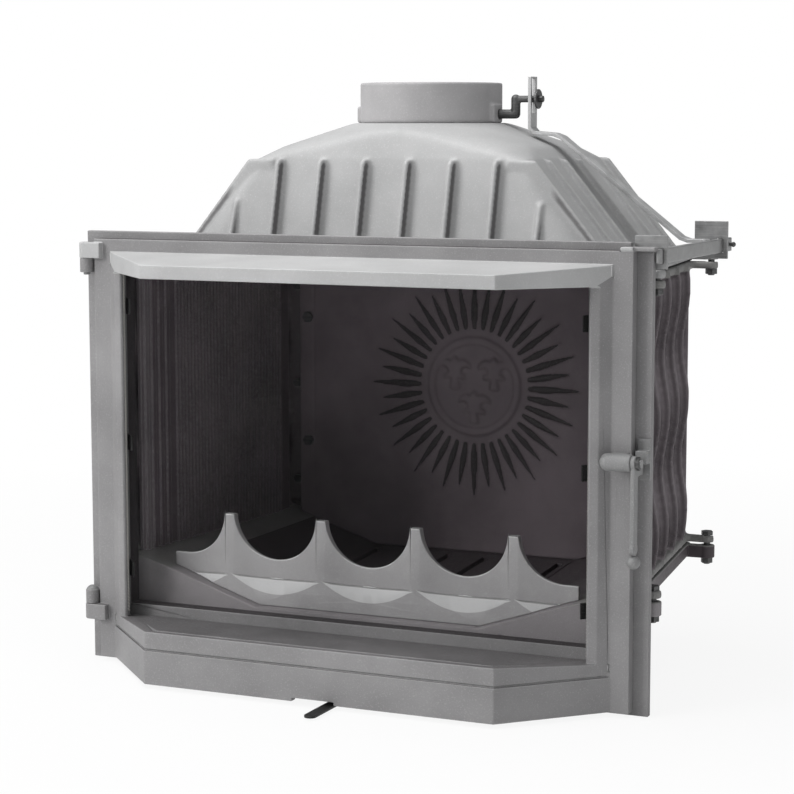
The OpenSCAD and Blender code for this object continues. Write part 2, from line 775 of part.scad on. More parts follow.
// Damper: a disc on a spindle whose outer end is bent into a crank
damper_r = collar_bore_r - 0.8;
damper_t = 5;
sleeve_r = spindle_r + 4.5;
crank_x = collar_r + 23.5;
strip_x = crank_x + 19;
pin_end = strip_x + strip_t + 12;
module damper_disc() {
  color([0.3, 0.3, 0.31]) difference() {
    union() {
      translate([0, 0, spindle_z - damper_t / 2]) cylinder(r = damper_r, h = damper_t, $fn = 96);
      translate([0, 0, spindle_z]) rod_x(sleeve_r, -58, 116);
    }
    translate([0, 0, spindle_z]) rod_x(spindle_r + fit_gap, -big / 2, big);
    translate([0, 40, spindle_z - 10]) cylinder(r = 15, h = 20);
  }
}
module damper_spindle() {
  color([0.34, 0.34, 0.35]) {
    translate([0, 0, spindle_z]) rod_x(spindle_r, -left_lug_x + 5, left_lug_x - 5 + crank_x);
    translate([crank_x, 0, spindle_z]) rotate([0, 45, 0]) sphere(r = spindle_r);
    translate([crank_x, 0, spindle_z]) cylinder(r = spindle_r, h = crank_r);
    translate([crank_x, 0, spindle_z + crank_r]) rotate([0, 73, 0]) sphere(r = spindle_r);
    translate([0, 0, spindle_z + crank_r]) rod_x(crank_pin_r, crank_x, pin_end - crank_x);
  }
}
module crank_washer() {
  color([0.4, 0.4, 0.41]) difference() {
    translate([0, 0, spindle_z + crank_r]) rod_x(11.5, strip_x + strip_t + 4, 2.5);
    translate([0, 0, spindle_z + crank_r]) rod_x(crank_pin_r + fit_gap, 0, big);
  }
}

// Push bar: the closing door pushes it back, and the strip then turns the crank
bar_x = facade_half + 0.4;
bar_z = facade_h - 22.5;
bar_d0 = facade_d + 1.2;
rear_guide_d = front_to_flue + 16;
bar_d1 = rear_guide_d + 37;
slot_ahead = crank_pin_r + 2.05;
slot_behind = crank_pin_r + 0.8;
strip_knee_x = shoulder_x - 8.5;
strip_foot_x = bar_x - 32;
strip_bend_z = dome_top - 13;
strip_foot_z = bar_z + bar_h - strip_t;
strip_head_z = spindle_z + crank_r + 26;
module push_bar() {
  color([0.33, 0.33, 0.34]) difference() {
    union() {
      translate([bar_x, at(bar_d0 + bar_w / 2), bar_z]) cube([bar_w, bar_d1 - bar_d0 - bar_w / 2, bar_h]);
      translate([bar_x + bar_w / 2, at(bar_d0 + bar_w / 2), bar_z]) cylinder(r = bar_w / 2, h = bar_h);
    }
    translate([0, at(bar_d1 - 8), bar_z + bar_h / 2]) rod_x(2 + bolt_gap, 0, big);
  }
}
module bar_split_pin() {
  color([0.33, 0.33, 0.34]) translate([0, at(bar_d1 - 8), bar_z + bar_h / 2]) {
    rod_x(2, bar_x - 5, bar_w + 9);
    translate([bar_x + bar_w + 4, 0, 0]) sphere(r = 3);
  }
}
// A bent strip as a flat outline round its middle line
strip_bend = 5;
function unit(v) = v / norm(v);
function side_of(a, b) = [unit(a - b)[1], unit(b - a)[0]];
function eased(p) = concat([p[0]],
  [for (i = [1:len(p) - 2]) each [p[i] + strip_bend * unit(p[i - 1] - p[i]),
    p[i] + strip_bend * unit(p[i + 1] - p[i])]],
  [p[len(p) - 1]]);
function strip_normal(p, i) =
  let (n0 = side_of(p[max(i, 1) - 1], p[max(i, 1)]),
    n1 = side_of(p[min(i, len(p) - 2)], p[min(i, len(p) - 2) + 1]))
  (n0 + n1) / (1 + n0 * n1);
function strip_edge(p, shift) = [for (i = [0:len(p) - 1]) p[i] + shift * strip_normal(p, i)];
module link_strip() {
  half = strip_t / 2;
  line = eased([[strip_x + half, strip_head_z], [strip_x + half, strip_bend_z + half],
    [strip_knee_x, strip_bend_z - 1], [strip_foot_x, strip_foot_z + half],
    [bar_x - half, strip_foot_z + half], [bar_x - half, bar_z + 2]]);
  color([0.36, 0.36, 0.37]) difference() {
    translate([0, strip_w / 2, 0]) rotate([90, 0, 0]) linear_extrude(strip_w)
      polygon(concat(strip_edge(line, half), flipped(strip_edge(line, -half))));
    translate([strip_x - 5, -slot_ahead, spindle_z + 1])
      cube([strip_t + 10, slot_ahead + slot_behind, crank_r + 23]);
  }
}

// Guides of the push bar
guide_plate_t = 4;
module bar_window(d) {
  translate([bar_x - run_gap, at(d) - 1, bar_z - run_gap])
    cube([bar_w + 2 * run_gap, guide_plate_t + 2, bar_h + 2 * run_gap]);
}
module front_guide_rivet_places() {
  for (z = [bar_z - 2, bar_z + 9])
    translate([bar_x - 18, 0, z]) children();
}
module front_bar_guide() {
  color([0.6, 0.6, 0.61]) difference() {
    translate([bar_x - 24, at(facade_back_d), bar_z - 6])
      cube([24 + bar_w + 4, guide_plate_t, 35.8]);
    bar_window(facade_back_d);
    front_guide_rivet_places() rod_y(2.5 + bolt_gap, facade_back_d - 1, 10);
  }
}
rear_foot_x = side_fin_foot + run_gap;
module rear_guide_rivet_places() {
  for (s = [-1, 1])
    translate([rear_foot_x + 9, at(rear_guide_d) + 14 + s * 5, dome_z1 + guide_plate_t]) children();
}
module rear_bar_guide() {
  color([0.6, 0.6, 0.61]) difference() {
    union() {
      translate([rear_foot_x, at(rear_guide_d), dome_z1]) cube([24, 24, guide_plate_t]);
      translate([rear_foot_x, at(rear_guide_d), dome_z1])
        cube([bar_x + bar_w + 5 - rear_foot_x, guide_plate_t, 12]);
      translate([bar_x - 26, at(rear_guide_d), dome_z1])
        cube([26 + bar_w + 5, guide_plate_t, bar_z + bar_h + 20 - dome_z1]);
    }
    bar_window(rear_guide_d);
    rear_guide_holes();
  }
}
module rear_guide_holes() {
  rear_guide_rivet_places() translate([0, 0, -20]) cylinder(r = 2.5 + bolt_gap, h = 40);
}
module guide_rivets() {
  color([0.4, 0.4, 0.41]) {
    rear_guide_rivet_places() {
      translate([0, 0, -guide_plate_t - dome_flange_t])
        cylinder(r = 2.5, h = guide_plate_t + dome_flange_t + eps);
      cylinder(r = 4.5, h = 2.5);
    }
    front_guide_rivet_places() {
      rod_y(2.5, facade_back_d + 0.2, guide_plate_t);
      rod_y(4.5, facade_back_d + guide_plate_t, 2.5);
    }
  }
}

// Bolts and nuts of the ears
bolt_excess = 8;
module ear_bolt(z_head, length) {
  translate([0, 0, z_head - length]) cylinder(r = ear_bolt_r, h = length + eps);
  translate([0, 0, z_head]) hex(ear_head_af, ear_head_h);
}
module ear_nut(z_face) {
  difference() {
    translate([0, 0, z_face - 6.5]) hex(ear_head_af, 6.5);
    translate([0, 0, z_face - 10]) cylinder(r = ear_bolt_r + fit_gap, h = 20);
  }
}
module upper_ear_bolts() {
  color([0.3, 0.3, 0.31]) at_ears() ear_bolt(dome_z1, dome_z1 - wall_z1 + flange_t + bolt_excess);
}
module upper_ear_nuts() {
  color([0.3, 0.3, 0.31]) at_ears() ear_nut(wall_z1 - flange_t);
}
module lower_ear_bolts() {
  color([0.3, 0.3, 0.31]) at_ears() ear_bolt(wall_z0 + flange_t, gasket_t + flange_t + rim_t + bolt_excess);
}
module lower_ear_nuts() {
  color([0.3, 0.3, 0.31]) at_ears() ear_nut(rim_top - rim_t);
}

// Hinges: knuckles on the facade, lugs on the door, and a pin through each pair
hinge_x = -(facade_half - 8);
hinge_r = 8;
hinge_pin_r = 4;
lug_h = 18.5;
knuckle_h = 16.5;
upper_lug_z = facade_h - 31.3;
lower_lug_z = door_low + 46.2;
upper_knuckle_z = upper_lug_z - run_gap - knuckle_h;
lower_knuckle_z = lower_lug_z + lug_h + run_gap;
module at_hinge() {
  translate([hinge_x, at(0), 0]) children();
}
module knuckle(z) {
  at_hinge() translate([0, 0, z]) {
    cylinder(r = hinge_r, h = knuckle_h);
    translate([-hinge_r, 0, 0]) cube([2 * hinge_r, facade_d, knuckle_h]);
  }
}
module hinge_knuckles() {
  color([0.56, 0.56, 0.57]) difference() {
    union() {
      knuckle(upper_knuckle_z);
      knuckle(lower_knuckle_z);
    }
    at_hinge() translate([0, 0, -1]) cylinder(r = hinge_pin_r + fit_gap, h = big);
  }
}
module hinge_pins() {
  color([0.5, 0.5, 0.51]) at_hinge() {
    translate([0, 0, upper_knuckle_z - 3])
      cylinder(r = hinge_pin_r, h = knuckle_h + run_gap + lug_h);
    translate([0, 0, lower_lug_z + 1]) cylinder(r = hinge_pin_r, h = lug_h + knuckle_h + 2);
    intersection() {
      translate([0, 0, lower_knuckle_z + knuckle_h - 3]) sphere(r = hinge_r);
      translate([-20, -20, lower_knuckle_z + knuckle_h]) cube([40, 40, 20]);
    }
  }
}

// Door: one casting of a flange and a three-sided bay
door_half = facade_half - door_reveal;
door_high = facade_h - door_drop;
crease_x = door_half - door_flange_w;
bay_x = crease_x - bay_depth;
header_low = door_high - 38.3;
header_high = header_low + header_h;
header_slope = 4.4;
sill_slope = 4.4;
frame_t = 9;
header_t = frame_t - 0.5;
glass_n = frame_t + 2;
glass_low = apron_top - 3.5;
glass_high = header_low + 8.4;
clip_n = glass_n + glass_t;
function bay_corner(n) = [bay_x - n * tan(22.5), at(-bay_depth + n)];
function bay_end(n, d) = [crease_x - n * sqrt(2) + d, at(d)];
function flip_x(p) = [-p[0], p[1]];
module bay_band(n0, n1, end_d) {
  polygon([bay_end(n0, end_d), bay_corner(n0), flip_x(bay_corner(n0)), flip_x(bay_end(n0, end_d)),
    flip_x(bay_end(n1, end_d)), flip_x(bay_corner(n1)), bay_corner(n1), bay_end(n1, end_d)]);
}
module bay_area(n) {
  polygon([bay_end(n, 0), bay_corner(n), flip_x(bay_corner(n)), flip_x(bay_end(n, 0))]);
}
// Moves a piece into the frame of the bay's left side: x along it, y inwards
module bay_side() {
  translate([-crease_x, at(0), 0]) rotate([0, 0, -45]) children();
}
module sloped_cut(z_front, slope, below) {
  translate([0, at(-bay_depth), z_front]) rotate([slope, 0, 0])
    translate([-big / 2, -200, below ? -big : 0]) cube([big, 600, big]);
}
stile_w = 23.5;
module stile_2d() {
  polygon([[-4, 4], [0, 0], [15, 0], [stile_w, 5], [stile_w, frame_t], [12.5, frame_t],
    [12.5, clip_n], [-2, clip_n]]);
}
seal_inset = 7.3;
seal_w = 7;
seal_low = pan_open_high + 1;
door_bar_low = seal_low - 2;
door_bar_high = seal_low + seal_w + 3;
door_ring_w = door_flange_w + 9.5;
module door_ring_2d() {
  half = door_half - door_ring_w;
  difference() {
    translate([-door_half, door_low]) square([2 * door_half, door_high - door_low]);
    translate([-half, door_bar_high]) square([2 * half, door_high - door_ring_w - door_bar_high]);
    translate([-half, door_low - 1]) square([2 * half, door_bar_low - door_low + 1]);
  }
}
module seal_2d() {
  difference() {
    translate([-door_half + seal_inset, seal_low])
      square([2 * (door_half - seal_inset), door_high - seal_inset - seal_low]);
    translate([-door_half + seal_inset + seal_w, seal_low + seal_w])
      square([2 * (door_half - seal_inset - seal_w), door_high - seal_inset - seal_low - 2 * seal_w]);
  }
}
module door_header() {
  difference() {
    translate([0, 0, header_low]) linear_extrude(60) bay_band(0, header_t, 2);
    sloped_cut(header_high, header_slope, false);
  }
  difference() {
    translate([0, 0, glass_high + 1.5]) linear_extrude(60) {
      bay_area(header_t - 1);
      translate([-crease_x, at(-1)]) square([2 * crease_x, door_t + 1]);
    }
    sloped_cut(header_high, header_slope, false);
  }
}
module door_apron() {
  difference() {
    union() {
      translate([0, 0, door_low]) linear_extrude(70) bay_band(0, frame_t - 1, 2);
      translate([0, 0, apron_top - 15.5]) linear_extrude(60) {
        bay_area(2);
        translate([-crease_x, at(-1)]) square([2 * crease_x, door_t + 1]);
      }
    }
    sloped_cut(apron_top, -sill_slope, false);
    translate([0, 0, apron_step]) linear_extrude(1.6) bay_band(-1, 1.2, -1);
  }
  translate([0, 0, door_low]) linear_extrude(apron_step - door_low) bay_band(-1.5, 2, 2);
}
tab_t = 4.4;
module door_tab() {
  translate([door_half - 14, at(-2), tab_z]) cube([14, door_t, tab_t]);
  translate([door_half - 4, at(2), tab_z])
    cube([bar_x + bar_w / 2 + 1 - door_half + 4, bar_d0 - run_gap - 2, tab_t]);
}
module door_frame() {
  color([0.55, 0.55, 0.56]) difference() {
    union() {
      translate([0, at(door_t), 0]) rotate([90, 0, 0]) linear_extrude(door_t)
        door_ring_2d();
      door_header();
      door_apron();
      both_sides() translate([0, 0, apron_top - 12]) linear_extrude(header_low - apron_top + 28)
        bay_side() stile_2d();
      door_tab();
      for (z = [upper_lug_z, lower_lug_z]) at_hinge() translate([0, 0, z]) {
        cylinder(r = hinge_r + 0.5, h = lug_h);
        translate([0, -hinge_r - 0.5, 0]) cube([22, 2 * hinge_r + 1, lug_h]);
      }
    }
    translate([0, at(door_t + 1), 0]) rotate([90, 0, 0]) linear_extrude(8.5)
      seal_2d();
    translate([0, 0, glass_low - 0.5]) linear_extrude(glass_high - glass_low + 1.5)
      bay_band(glass_n - run_gap, clip_n + run_gap, -7);
    at_hinge() translate([0, 0, -1]) cylinder(r = hinge_pin_r + fit_gap, h = big);
    translate([-25.8, at(-bay_depth - 10), 0]) cube([51, 20, door_low + 4]);
    both_sides() clip_places() translate([clip_screw_u, 8, 0]) rotate([-90, 0, 0])
      cylinder(r = 2 + bolt_gap, h = 20);
    latch_screw_places() rod_y(2.5 + bolt_gap, -1, 7.6);
  }
}
// The pane is bent at both corners of the bay and stands in a groove of the sill
glass_end_u = 13.5;
module pane_2d(n0, n1, end_u) {
  difference() {
    bay_band(n0, n1, 0);
    both_sides() bay_side() translate([-40, -20]) square([40 + end_u, 60]);
  }
}
module door_glass() {
  color([0.75, 0.8, 0.82, 0.25]) translate([0, 0, glass_low]) linear_extrude(glass_high - glass_low)
    pane_2d(glass_n, clip_n, glass_end_u);
}
module glass_seal() {
  color([0.8, 0.8, 0.76]) {
    both_sides() bay_side() translate([glass_end_u, frame_t, apron_top])
      cube([stile_w - glass_end_u - 1, glass_n - frame_t, glass_high - apron_top]);
    translate([0, 0, header_low + 1.5]) linear_extrude(glass_high - header_low - 1.5)
      pane_2d(header_t, glass_n, stile_w + 0.2);
  }
}
module door_rope_seal() {
  color([0.8, 0.8, 0.76]) translate([0, at(door_t), 0]) rotate([90, 0, 0]) linear_extrude(7.5)
    seal_2d();
}
clip_screw_u = 7;
module clip_places() {
  for (z = [apron_top + 50, (apron_top + header_low) / 2, header_low - 40])
    bay_side() translate([0, 0, z]) children();
}
module glass_clips() {
  color([0.45, 0.45, 0.46]) both_sides() clip_places() difference() {
    translate([1, clip_n, -9]) cube([26, 2, 18]);
    translate([clip_screw_u, 0, 0]) rotate([-90, 0, 0]) cylinder(r = 2 + bolt_gap, h = 40);
  }
}
module clip_screws() {
  color([0.4, 0.4, 0.41]) both_sides() clip_places() translate([clip_screw_u, 0, 0]) {
    translate([0, clip_n - 5, 0]) rotate([-90, 0, 0]) cylinder(r = 2, h = 7 + eps);
    translate([0, clip_n + 2, 0]) rotate([-90, 0, 0]) cylinder(r = 4, h = 2.5);
  }
}

// Latch: a spindle in a housing on the door, with a hanging lever and a hook
latch_d = -15;
latch_bore_r = 4.5;
lever_t = 5;
lever_w = 12;
housing_x0 = door_half - 30;
housing_x1 = door_half + 6;
lever_x = housing_x1 + run_gap;
module at_latch() {
  translate([0, at(latch_d), latch_z]) children();
}
module latch_screw_places() {
  for (s = [-1, 1])
    translate([door_half - 11, 0, latch_z + s * 4.5]) children();
}
module latch_housing() {
  color([0.62, 0.62, 0.63]) difference() {
    union() {
      at_latch() {
        rod_x(latch_housing_r, housing_x0 + latch_housing_r, housing_x1 - housing_x0 - latch_housing_r);
        translate([housing_x0 + latch_housing_r, 0, 0]) rotate([0, 90, 0])
          sphere(r = latch_housing_r);
      }
      translate([door_half - 20, at(latch_d), latch_z - 9]) cube([18, -latch_d, 18]);
      latch_screw_places() rod_y(2.5, -1, 7.3);
    }
    at_latch() rod_x(latch_bore_r + fit_gap, housing_x0 + 10, big);
  }
}
module latch_spindle() {
  color([0.5, 0.5, 0.51]) at_latch()
    rod_x(latch_bore_r, housing_x0 + 11, lever_x + lever_t + 6 - housing_x0 - 11);
}
hook_reach = facade_d - latch_d - 5.5;
module latch_lever() {
  color([0.6, 0.6, 0.61]) at_latch() difference() {
    union() {
      rod_x(8, lever_x, lever_t);
      translate([lever_x, -lever_w / 2, -lever_len]) cube([lever_t, lever_w, lever_len]);
      translate([0, 0, -lever_len]) rod_x(lever_w / 2 + 1.5, lever_x, lever_t);
      translate([lever_x, 0, -15]) cube([lever_t, hook_reach, 8]);
      translate([lever_x, hook_reach - 6, -15]) cube([lever_t, 6, 11.5]);
    }
    rod_x(latch_bore_r + fit_gap, 0, big);
  }
}
module latch_nut() {
  color([0.5, 0.5, 0.51]) at_latch() difference() {
    translate([lever_x + lever_t, 0, 0]) rotate([0, 90, 0]) hex(13, 4);
    rod_x(latch_bore_r + fit_gap, 0, big);
  }
}
module latch_knob() {
  color([0.62, 0.62, 0.63]) at_latch() translate([lever_x + lever_t / 2, 0, -lever_len - 14.5])
    difference() {
      sphere(r = 7.5);
      translate([-10, -10, 7]) cube([20, 20, 10]);
    }
}
keeper_x0 = facade_half - 15;
keeper_tooth_z = latch_z - 3.5 + run_gap;
module latch_keeper() {
  color([0.6, 0.6, 0.61]) {
    translate([keeper_x0, at(facade_d - 3), latch_z - 22]) cube([15, 3, 45]);
    translate([keeper_x0 + 1, at(facade_d - 12), keeper_tooth_z]) cube([13, 10, 14]);
  }
}

facade();
hearth();
grate();
ash_box();
base_gasket();
side_wall_left();
side_wall_right();
back_wall();
back_wall_bolts();
side_liner_left();
side_liner_right();
fireback();
fireback_bolts();
baffle_plate();
log_retainer();
dome_gasket();
dome();
flue_collar();
facade_bolts();
lower_ear_bolts();
lower_ear_nuts();
upper_ear_bolts();
upper_ear_nuts();
hinge_knuckles();
hinge_pins();
latch_keeper();
front_bar_guide();
rear_bar_guide();
guide_rivets();
air_slide_guides();
ash_pan();
air_slide();
air_lever();
door_frame();
door_glass();
glass_seal();
door_rope_seal();
glass_clips();
clip_screws();
latch_housing();
latch_spindle();
latch_lever();
latch_knob();
latch_nut();
damper_disc();
damper_spindle();
crank_washer();
push_bar();
link_strip();
bar_split_pin();
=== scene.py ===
import json
import math
import bmesh
import bpy
from mathutils import Matrix, Vector

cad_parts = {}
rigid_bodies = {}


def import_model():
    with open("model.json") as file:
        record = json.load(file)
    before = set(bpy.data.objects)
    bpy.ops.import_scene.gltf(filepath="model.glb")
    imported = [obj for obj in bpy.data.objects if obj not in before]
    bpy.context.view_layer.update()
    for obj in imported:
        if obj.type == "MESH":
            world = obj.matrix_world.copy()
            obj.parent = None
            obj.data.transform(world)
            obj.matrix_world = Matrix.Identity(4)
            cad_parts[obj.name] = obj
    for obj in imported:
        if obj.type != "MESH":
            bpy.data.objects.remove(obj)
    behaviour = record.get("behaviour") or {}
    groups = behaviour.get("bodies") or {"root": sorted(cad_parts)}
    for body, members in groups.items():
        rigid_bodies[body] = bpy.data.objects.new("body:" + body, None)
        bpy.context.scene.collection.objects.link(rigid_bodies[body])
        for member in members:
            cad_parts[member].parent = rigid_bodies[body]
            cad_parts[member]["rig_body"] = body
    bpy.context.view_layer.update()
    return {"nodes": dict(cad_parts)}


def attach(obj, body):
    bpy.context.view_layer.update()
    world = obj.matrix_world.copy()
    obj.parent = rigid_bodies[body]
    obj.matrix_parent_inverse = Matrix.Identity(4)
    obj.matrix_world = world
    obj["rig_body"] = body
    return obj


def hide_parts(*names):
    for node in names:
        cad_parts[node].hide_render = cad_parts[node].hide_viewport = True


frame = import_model()

MM = 0.001
WHITE = (1, 1, 1, 1)
scene = bpy.context.scene

# Copies of the CAD meshes: points this near are one, and faces this flat are one
JOIN_WITHIN = 0.004 * MM
FLAT_WITHIN = math.radians(0.6)


def link(obj):
    scene.collection.objects.link(obj)
    return obj


def select_only(obj):
    for other in bpy.context.selected_objects:
        other.select_set(False)
    bpy.context.view_layer.objects.active = obj
    obj.select_set(True)


def apply_modifiers(obj):
    select_only(obj)
    for mod in list(obj.modifiers):
        bpy.ops.object.modifier_apply(modifier=mod.name)


def mesh_object(name, verts, faces):
    mesh = bpy.data.meshes.new(name)
    mesh.from_pydata(verts, [], faces)
    mesh.update()
    return link(bpy.data.objects.new(name, mesh))


def clean_copy(node, name):
    """A copy of a CAD node's mesh with joined vertices and whole flat faces."""
    source = frame["nodes"][node].data
    verts = [tuple(v.co) for v in source.vertices]
    faces = [tuple(p.vertices) for p in source.polygons]
    obj = mesh_object(name, verts, faces)
    bm = bmesh.new()
    bm.from_mesh(obj.data)
    bmesh.ops.remove_doubles(bm, verts=bm.verts, dist=JOIN_WITHIN)
    bmesh.ops.dissolve_limit(bm, angle_limit=FLAT_WITHIN, verts=bm.verts, edges=bm.edges)
    bmesh.ops.connect_verts_concave(bm, faces=bm.faces)
    bm.to_mesh(obj.data)
    bm.free()
    return obj


def shade_smooth(obj):
    for poly in obj.data.polygons:
        poly.use_smooth = True


def fix_normals(obj):
    bm = bmesh.new()
    bm.from_mesh(obj.data)
    bmesh.ops.recalc_face_normals(bm, faces=bm.faces)
    bm.to_mesh(obj.data)
    bm.free()


def finish_piece(obj, node, material):
    """Puts a new piece in a CAD node's place, on that node's body."""
    obj.data.materials.clear()
    obj.data.materials.append(material)
    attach(obj, frame["nodes"][node]["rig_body"])
    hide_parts(node)
    return obj


def add_bevel(obj, width, segments, degrees):
    bevel = obj.modifiers.new("Bevel", "BEVEL")
    bevel.width = width * MM
    bevel.segments = segments
    bevel.limit_method = "ANGLE"
    bevel.angle_limit = math.radians(degrees)
    bevel.use_clamp_overlap = False
    return bevel


def bevelled(node, width, material):
    """A piece with rounded edges and flat faces."""
    obj = clean_copy(node, node + "_cast")
    shade_smooth(obj)
    add_bevel(obj, width, 3, 30).miter_outer = "MITER_ARC"
    normals = obj.modifiers.new("Normals", "WEIGHTED_NORMAL")
    normals.keep_sharp = True
    normals.weight = 60
    apply_modifiers(obj)
    return finish_piece(obj, node, material)


# The dome's vault is smoothed above a height, outside a radius round the flue
CROWN_LOW = 0.600
CROWN_RADIUS = 0.088
CROWN_RISE = 12 * MM
CROWN_OUT = 8 * MM
CROWN_ROUNDS = 90


def soft_crown(obj):
    group = obj.vertex_groups.new(name="crown")
    for v in obj.data.vertices:
        rise = (v.co.z - CROWN_LOW) / CROWN_RISE
        out = (math.hypot(v.co.x, v.co.y) - CROWN_RADIUS) / CROWN_OUT
        weight = min(max(min(rise, out), 0), 1)
        if weight > 0:
            group.add([v.index], weight, "REPLACE")
    smooth = obj.modifiers.new("Crown", "SMOOTH")
    smooth.vertex_group = "crown"
    smooth.factor = 0.5
    smooth.iterations = CROWN_ROUNDS
    apply_modifiers(obj)


MOST_FACES = 180000


def rounded(node, voxel, rounds, edge, material):
    """A casting: one closed skin of fine faces, smoothed."""
    obj = clean_copy(node, node + "_cast")
    if edge:
        add_bevel(obj, edge, 2, 50)
    mod = obj.modifiers.new("Remesh", "REMESH")
    mod.mode = "VOXEL"
    mod.voxel_size = voxel * MM
    mod.use_smooth_shade = True
    smooth = obj.modifiers.new("Smooth", "SMOOTH")
    smooth.factor = 0.5
    smooth.iterations = rounds
    apply_modifiers(obj)
    if node == "dome":
        soft_crown(obj)
    count = 2 * len(obj.data.polygons)
    if count > MOST_FACES:
        thin = obj.modifiers.new("Thin", "DECIMATE")
        thin.ratio = MOST_FACES / count
        apply_modifiers(obj)
    shade_smooth(obj)
    return finish_piece(obj, node, material)


def srgb(level, warm=0.0, rose=0.0):
    """Linear colour of a grey of 0 to 255, a little warmer, cooler or more purple."""
    c = level / 255
    lin = c / 12.92 if c <= 0.04045 else ((c + 0.055) / 1.055) ** 2.4
    return (lin * (1 + warm + rose), lin * (1 + warm * 0.3 - rose), lin * (1 - warm), 1)


class Nodes:
    """Short calls to build a node tree."""

    def __init__(self, name):
        self.material = bpy.data.materials.new(name)
        self.material.use_nodes = True
        self.tree = self.material.node_tree
        self.tree.nodes.clear()
        self.out = self.add("ShaderNodeOutputMaterial")

    def add(self, kind, **values):
        node = self.tree.nodes.new(kind)
        for key, value in values.items():
            setattr(node, key, value)
        return node

    def join(self, a, b):
        self.tree.links.new(a, b)

    def shader(self, **values):
        """The surface, with the inputs that are named; _ stands for a space."""
        node = self.add("ShaderNodeBsdfPrincipled")
        for key, value in values.items():
            node.inputs[key.replace("_", " ")].default_value = value
        self.join(node.outputs[0], self.out.inputs[0])
        return node

    def place(self, stretch=None):
        """The object's own coordinates, in metres."""
        coords = self.add("ShaderNodeTexCoord").outputs["Object"]
        if stretch is None:
            return coords
        mapping = self.add("ShaderNodeMapping")
        mapping.inputs["Scale"].default_value = stretch
        self.join(coords, mapping.inputs["Vector"])
        return mapping.outputs[0]

    def noise(self, place, scale, detail=3.0, rough=0.55):
        node = self.add("ShaderNodeTexNoise")
        node.inputs["Scale"].default_value = scale
        node.inputs["Detail"].default_value = detail
        node.inputs["Roughness"].default_value = rough
        self.join(place, node.inputs["Vector"])
        return node.outputs["Fac"]

    def spread(self, value, low, high, to_low, to_high):
        """Maps one range onto another, and holds what lies outside at its ends."""
        node = self.add("ShaderNodeMapRange")
        self.join(value, node.inputs["Value"])
        for key, number in zip(
            ("From Min", "From Max", "To Min", "To Max"), (low, high, to_low, to_high)
        ):
            node.inputs[key].default_value = number
        return node.outputs[0]

    def math(self, how, a, b):
        node = self.add("ShaderNodeMath", operation=how)
        for socket, value in zip(node.inputs, (a, b)):
            if isinstance(value, (int, float)):
                socket.default_value = value
            else:
                self.join(value, socket)
        return node.outputs[0]

    def mix(self, factor, a, b):
        node = self.add("ShaderNodeMix", data_type="RGBA")
        sockets = (node.inputs[0], node.inputs[6], node.inputs[7])
        for socket, value in zip(sockets, (factor, a, b)):
            if isinstance(value, (int, float, tuple)):
                socket.default_value = value
            else:
                self.join(value, socket)
        return node.outputs[2]

    def edges(self, radius):
        """0 on flat ground and 1 on an edge that sticks out."""
        bevel = self.add("ShaderNodeBevel", samples=4)
        bevel.inputs["Radius"].default_value = radius
        ground = self.add("ShaderNodeNewGeometry")
        dot = self.add("ShaderNodeVectorMath", operation="DOT_PRODUCT")
        self.join(bevel.outputs[0], dot.inputs[0])
        self.join(ground.outputs["Normal"], dot.inputs[1])
        return self.spread(dot.outputs["Value"], 0.995, 0.8, 0.0, 1.0)

    def depth(self, front, back, blotch):
        """0 at the front and 1 at the back, with an uneven border."""
        y = self.split(self.place())["Y"]
        uneven = self.math("ADD", y, self.spread(blotch, 0.3, 0.7, -0.03, 0.03))
        return self.spread(uneven, front, back, 0.0, 1.0)

    def upright(self, height, out):
        """1 on a fin's upright faces above a height, and 0 elsewhere: where the fins' painted shade
        goes.

        They face left or right, or also the front where x is further out than given.
        """
        normal, place = self.normal(), self.split(self.place())
        slope = self.math("ABSOLUTE", normal["Z"], 0)
        outer = self.spread(self.math("ABSOLUTE", place["X"], 0), out, out + 10 * MM, 0.0, 1.0)
        ahead = self.math("MULTIPLY", self.spread(normal["Y"], -0.7, -0.92, 0.0, 1.0), outer)
        across = self.spread(self.math("ABSOLUTE", normal["X"], 0), 0.6, 0.9, 0.0, 1.0)
        sideways = self.math("MAXIMUM", across, ahead)
        above = self.spread(place["Z"], height, height + 3 * MM, 0.0, 1.0)
        flat = self.math("MULTIPLY", self.spread(slope, 0.05, 0.17, 1.0, 0.0), above)
        return self.math("MULTIPLY", flat, sideways)

    def split(self, vector):
        parts = self.add("ShaderNodeSeparateXYZ")
        self.join(vector, parts.inputs[0])
        return parts.outputs

    def normal(self):
        return self.split(self.add("ShaderNodeNewGeometry").outputs["Normal"])

    def bump(self, shader, heights):
        """Heights are (value, strength, distance), laid over each other."""
        before = None
        for value, strength, distance in heights:
            node = self.add("ShaderNodeBump")
            node.inputs["Strength"].default_value = strength
            node.inputs["Distance"].default_value = distance
            self.join(value, node.inputs["Height"])
            if before is not None:
                self.join(before, node.inputs["Normal"])
            before = node.outputs[0]
        self.join(before, shader.inputs["Normal"])


